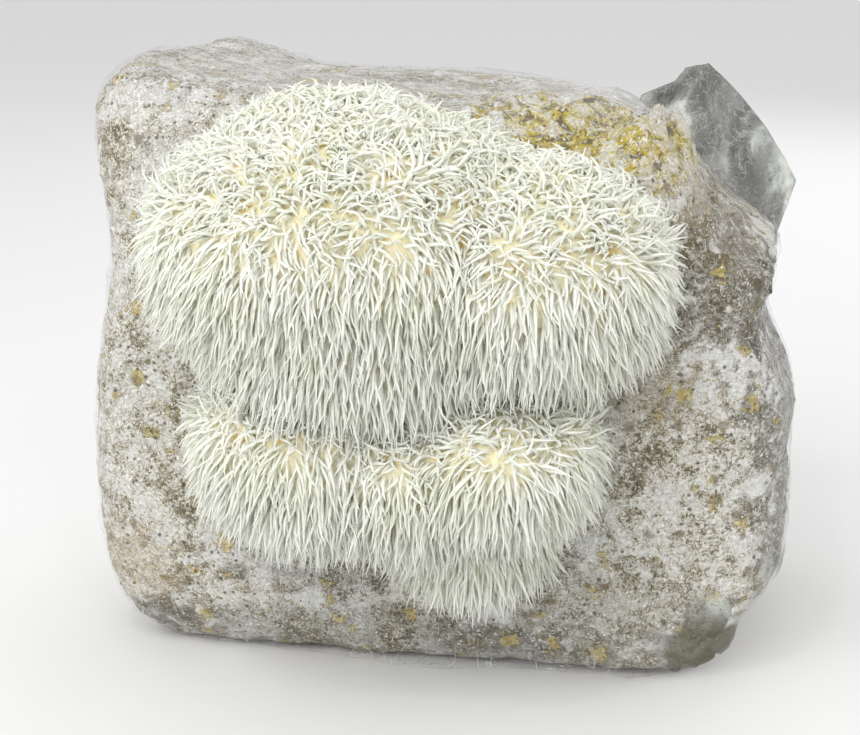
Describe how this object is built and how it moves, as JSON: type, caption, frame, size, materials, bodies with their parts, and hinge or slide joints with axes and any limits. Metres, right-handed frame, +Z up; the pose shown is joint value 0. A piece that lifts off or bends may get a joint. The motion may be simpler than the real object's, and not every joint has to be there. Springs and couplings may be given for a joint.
{
  "type": "lion's mane mushroom on a bagged fruiting block",
  "caption": "Shaggy ivory lion's mane mushroom hanging in lobes of long soft spines from the front of an upright sawdust fruiting block in a clear film bag.",
  "frame": {"origin": "on the surface the block stands on, under the middle of the whole object's box", "axes": "+Z up; the mushroom faces -Y; +X is to the right of someone who faces the mushroom"},
  "size_m": [0.1988, 0.1874, 0.1673],
  "materials": {
    "mushroom": "soft ivory spines, tan at their roots, slightly translucent and moist",
    "substrate": "sawdust run through with white mycelium, brown and ochre patches",
    "film": "clear wrinkled film, wet-looking, milky where it is folded double"
  },
  "bodies": {
    "root": {"mushroom": "mushroom", "substrate_block": "substrate", "grow_bag": "film"}
  },
  "joints": []
}
